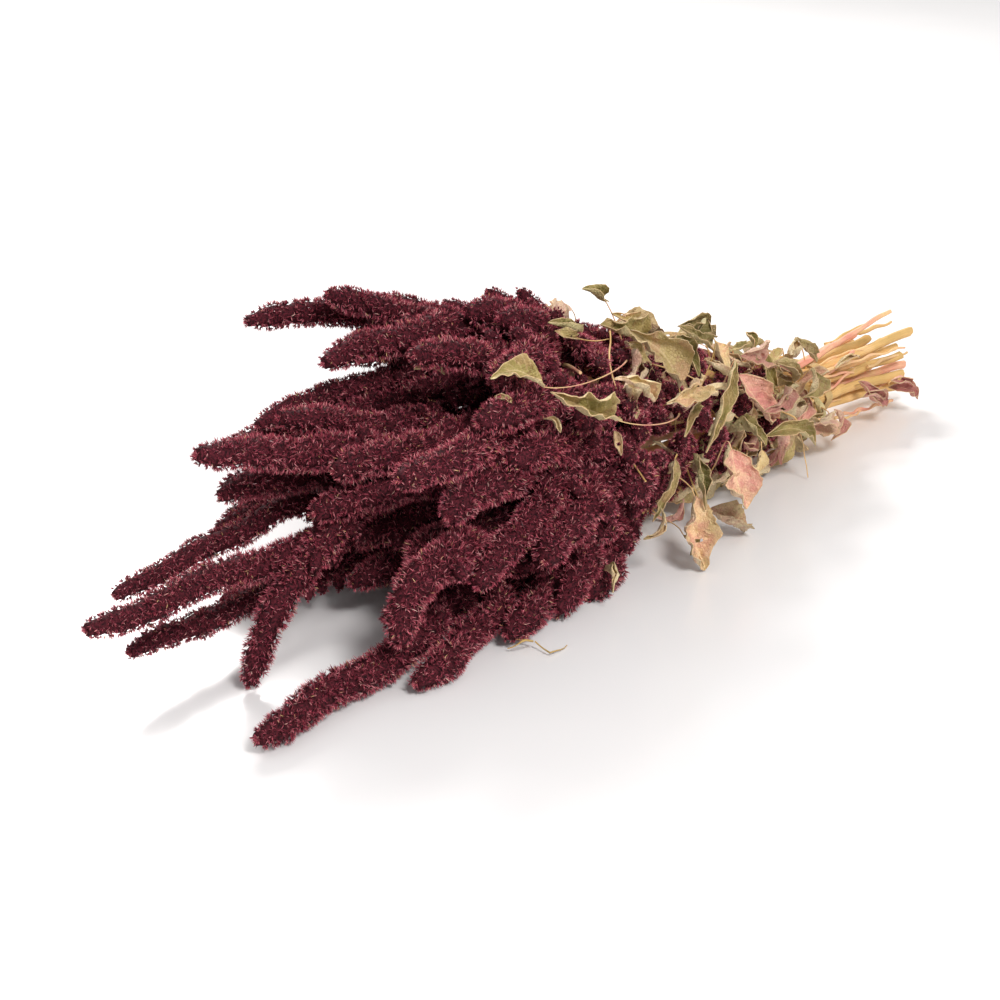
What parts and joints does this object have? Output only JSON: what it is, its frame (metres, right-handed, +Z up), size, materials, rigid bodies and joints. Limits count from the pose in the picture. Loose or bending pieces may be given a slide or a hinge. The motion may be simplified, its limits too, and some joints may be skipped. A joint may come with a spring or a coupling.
{
  "type": "dried amaranth bunch",
  "caption": "Tied bunch of dried red amaranth lying on its side: leafy stems, each ending in a branched head of long furry spikes.",
  "frame": {"origin": "on the surface the bunch lies on, under the middle of its box", "axes": "+X along the bunch towards the cut ends of the stems, +Y across it, +Z up"},
  "size_m": [0.6428, 0.2242, 0.1555],
  "materials": {
    "burgundy_florets": "matte, furry",
    "dry_stem_leaf": "matte, papery",
    "raffia": "matte"
  },
  "bodies": {
    "root": {"head_front_low": "burgundy_florets", "head_mid_low": "burgundy_florets", "head_back_low": "burgundy_florets", "head_near": "burgundy_florets", "head_middle": "burgundy_florets", "head_inner": "burgundy_florets", "head_far_low": "burgundy_florets", "head_near_up": "burgundy_florets", "head_leader": "burgundy_florets", "head_far_mid": "burgundy_florets", "head_far": "burgundy_florets", "head_top_near": "burgundy_florets", "head_top": "burgundy_florets", "head_top_far": "burgundy_florets", "stem_front_low": "dry_stem_leaf", "stem_mid_low": "dry_stem_leaf", "stem_back_low": "dry_stem_leaf", "stem_near": "dry_stem_leaf", "stem_middle": "dry_stem_leaf", "stem_inner": "dry_stem_leaf", "stem_far_low": "dry_stem_leaf", "stem_near_up": "dry_stem_leaf", "stem_leader": "dry_stem_leaf", "stem_far_mid": "dry_stem_leaf", "stem_far": "dry_stem_leaf", "stem_top_near": "dry_stem_leaf", "stem_top": "dry_stem_leaf", "stem_top_far": "dry_stem_leaf", "tie": "raffia"}
  },
  "joints": []
}
